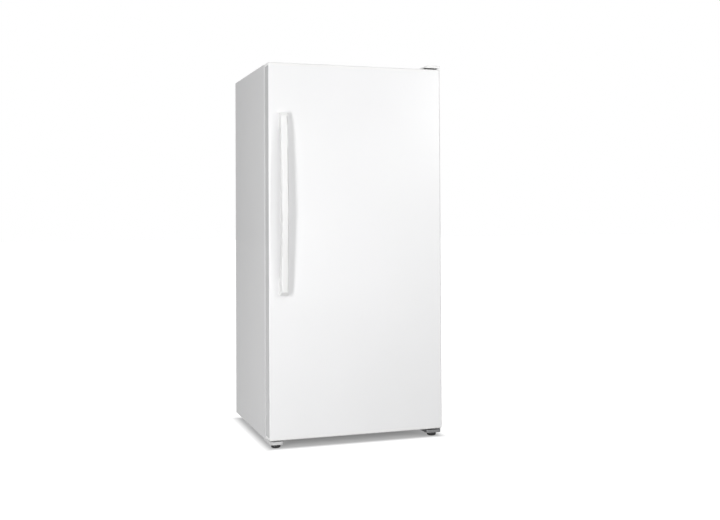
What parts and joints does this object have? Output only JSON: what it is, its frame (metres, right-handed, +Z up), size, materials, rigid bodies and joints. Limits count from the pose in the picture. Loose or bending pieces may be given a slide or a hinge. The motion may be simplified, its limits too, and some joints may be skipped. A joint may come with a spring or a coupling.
{
  "type": "upright freezer",
  "caption": "Free-standing upright freezer with one full height door, a bowed bar handle, wire shelves, a sliding basket, door bins, levelling feet and rear rollers.",
  "frame": {"origin": "on the floor under the middle of the footprint", "axes": "+Z up, the front with the door faces -Y, +X is to the right when looking at the front"},
  "size_m": [0.813, 0.7739, 1.705],
  "materials": {
    "white_door_enamel": "gloss white enamel with a faint orange peel",
    "white_door_plastic": "smooth white moulded plastic",
    "grey_cabinet_enamel": "pale grey-white enamel, fine texture",
    "galvanised_steel": "galvanised sheet with a soft spangle",
    "zinc_plated_steel": "zinc plated steel",
    "grey_bracket_enamel": "grey painted steel",
    "insulating_foam": "rigid foam, cut cells",
    "white_liner_plastic": "vacuum formed white sheet, satin",
    "clear_bin_plastic": "translucent moulded plastic",
    "frosted_lens": "frosted lens",
    "white_wire_coating": "white coated wire",
    "pale_gasket": "soft vinyl seal",
    "black_plastic": "black moulded plastic",
    "grey_small_plastic": "grey moulded plastic",
    "black_compressor_enamel": "black enamel",
    "black_rubber": "rubber",
    "copper": "copper tube",
    "evaporator_aluminium": "mill finish aluminium"
  },
  "bodies": {
    "cabinet": {"side_panel_left": "grey_cabinet_enamel", "side_panel_right": "grey_cabinet_enamel", "top_panel": "grey_cabinet_enamel", "back_panel": "galvanised_steel", "bottom_panel": "galvanised_steel", "base_rail": "galvanised_steel", "cabinet_insulation": "insulating_foam", "inner_liner": "white_liner_plastic", "machine_bulkhead": "galvanised_steel", "compressor_tray": "galvanised_steel", "machine_cover": "galvanised_steel", "machine_cover_screws": "zinc_plated_steel", "mains_gland": "black_plastic", "compressor": "black_compressor_enamel", "compressor_grommets": "black_rubber", "compressor_bolts": "zinc_plated_steel", "terminal_cover": "black_plastic", "filter_drier": "copper", "discharge_tube": "copper", "suction_tube": "copper", "drain_pan": "black_plastic", "drain_tube": "black_plastic", "evaporator_cover": "white_liner_plastic", "evaporator_coil": "evaporator_aluminium", "fan_motor": "black_plastic", "shelf_1": "white_wire_coating", "shelf_2": "white_wire_coating", "shelf_3": "white_wire_coating", "shelf_4": "white_wire_coating", "control_box": "white_liner_plastic", "lamp_lens": "frosted_lens", "light_switch_body": "grey_small_plastic", "top_hinge_leaf": "zinc_plated_steel", "top_hinge_cover": "white_door_plastic", "hinge_screws": "zinc_plated_steel", "bottom_hinge_bracket": "zinc_plated_steel", "foot_bracket_left": "grey_bracket_enamel", "roller_bracket_left": "galvanised_steel", "roller_bracket_right": "galvanised_steel"},
    "door": {"door_skin": "white_door_enamel", "door_top_cap": "white_door_plastic", "door_bottom_cap": "white_door_plastic", "door_insulation": "insulating_foam", "door_liner": "white_liner_plastic", "door_gasket": "pale_gasket", "door_handle": "white_door_plastic", "handle_screws": "zinc_plated_steel", "hinge_bushes": "grey_small_plastic", "door_bin_1": "clear_bin_plastic", "door_bin_2": "clear_bin_plastic", "door_bin_3": "clear_bin_plastic", "door_bin_4": "clear_bin_plastic"},
    "foot_left": {"foot_left": "black_plastic"},
    "foot_right": {"foot_right": "black_plastic"},
    "roller_left": {"roller_left": "black_plastic"},
    "roller_right": {"roller_right": "black_plastic"},
    "control_knob": {"control_knob": "grey_small_plastic"},
    "fan": {"fan_blade": "grey_small_plastic"},
    "basket": {"basket": "white_wire_coating"},
    "light_switch": {"light_switch_button": "grey_small_plastic"}
  },
  "joints": [
    {"name": "door_swing", "type": "hinge", "parent": "cabinet", "child": "door", "pos_m": [0.3935, -0.302, 0.036], "axis": [0, 0, 1], "range_deg": [0, 125]},
    {"name": "foot_left_screw", "type": "slide", "parent": "cabinet", "child": "foot_left", "axis": [0, 0, -1], "range_m": [0, 0.01]},
    {"name": "foot_right_screw", "type": "slide", "parent": "cabinet", "child": "foot_right", "axis": [0, 0, -1], "range_m": [0, 0.01]},
    {"name": "roller_left_spin", "type": "hinge", "parent": "cabinet", "child": "roller_left", "pos_m": [-0.3615, 0.351, 0.014], "axis": [1, 0, 0], "continuous": true},
    {"name": "roller_right_spin", "type": "hinge", "parent": "cabinet", "child": "roller_right", "pos_m": [0.3615, 0.351, 0.014], "axis": [1, 0, 0], "continuous": true},
    {"name": "knob_turn", "type": "hinge", "parent": "cabinet", "child": "control_knob", "pos_m": [0.115, -0.149, 1.599], "axis": [0, -1, 0], "range_deg": [-135, 135]},
    {"name": "fan_spin", "type": "hinge", "parent": "cabinet", "child": "fan", "pos_m": [0, 0.2855, 0.77], "axis": [0, -1, 0], "continuous": true},
    {"name": "basket_slide", "type": "slide", "parent": "cabinet", "child": "basket", "axis": [0, -1, 0], "range_m": [0, 0.015]},
    {"name": "switch_press", "type": "slide", "parent": "cabinet", "child": "light_switch", "axis": [0, 1, 0], "range_m": [0, 0.002], "stiffness_N_per_m": 150, "springref_m": -0.006}
  ]
}
